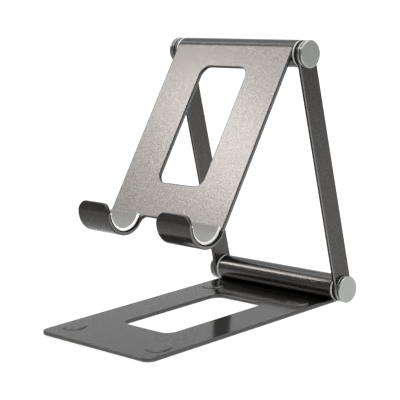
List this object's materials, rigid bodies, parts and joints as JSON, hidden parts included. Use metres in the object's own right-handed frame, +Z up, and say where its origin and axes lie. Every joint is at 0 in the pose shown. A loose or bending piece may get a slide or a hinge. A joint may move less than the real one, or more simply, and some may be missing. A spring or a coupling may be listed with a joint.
{
  "type": "folding phone stand",
  "caption": "Folding sheet metal phone stand: a base plate and a slotted cradle with two hooks, joined by side arms on friction hinges.",
  "frame": {"origin": "centre of the footprint, on the surface that the feet stand on", "axes": "+X along both hinge axes, -Y towards the user, +Z up"},
  "size_m": [0.0874, 0.1256, 0.1254],
  "materials": {
    "grey_paint": "gunmetal grey metallic paint, fine flake, satin gloss",
    "steel": "bright turned steel",
    "nylon": "natural white nylon",
    "cap_metal": "satin face with a polished bevel and rim",
    "silicone": "translucent grey white silicone",
    "rubber": "matt black rubber"
  },
  "bodies": {
    "base": {"base_plate": "grey_paint", "foot_front_left": "rubber", "foot_front_right": "rubber", "foot_rear_left": "rubber", "foot_rear_right": "rubber"},
    "lower_hinge": {"lower_shaft": "steel", "lower_right_steel_washer": "steel", "lower_left_steel_washer": "steel", "lower_right_spring_washer": "steel", "lower_left_spring_washer": "steel", "lower_right_screw": "steel", "lower_left_screw": "steel", "lower_right_cap": "cap_metal", "lower_left_cap": "cap_metal"},
    "arms": {"left_arm": "grey_paint", "right_arm": "grey_paint", "lower_right_nylon_washer": "nylon", "lower_left_nylon_washer": "nylon", "upper_right_nylon_washer": "nylon", "upper_left_nylon_washer": "nylon"},
    "upper_hinge": {"upper_shaft": "steel", "upper_right_steel_washer": "steel", "upper_left_steel_washer": "steel", "upper_right_spring_washer": "steel", "upper_left_spring_washer": "steel", "upper_right_screw": "steel", "upper_left_screw": "steel", "upper_right_cap": "cap_metal", "upper_left_cap": "cap_metal"},
    "cradle": {"cradle_plate": "grey_paint", "left_hook_pad": "silicone", "right_hook_pad": "silicone"}
  },
  "joints": [
    {"name": "arm_recline", "type": "hinge", "parent": "base", "child": "lower_hinge", "pos_m": [0, 0.05652, 0.00705], "axis": [1, 0, 0], "range_deg": [-99, 0]},
    {"name": "fold", "type": "hinge", "parent": "lower_hinge", "child": "arms", "pos_m": [0, 0.05652, 0.00705], "axis": [1, 0, 0], "range_deg": [0, 79.7]},
    {"name": "cradle_swing", "type": "hinge", "parent": "arms", "child": "upper_hinge", "pos_m": [0, 0.03868, 0.11908], "axis": [1, 0, 0], "range_deg": [-180, 0]},
    {"name": "cradle_tilt", "type": "hinge", "parent": "upper_hinge", "child": "cradle", "pos_m": [0, 0.03868, 0.11908], "axis": [-1, 0, 0], "range_deg": [-43, 122.8]}
  ],
  "couplings": [
    {"joint": "cradle_swing", "follows": "fold", "ratio": -2.2585}
  ]
}
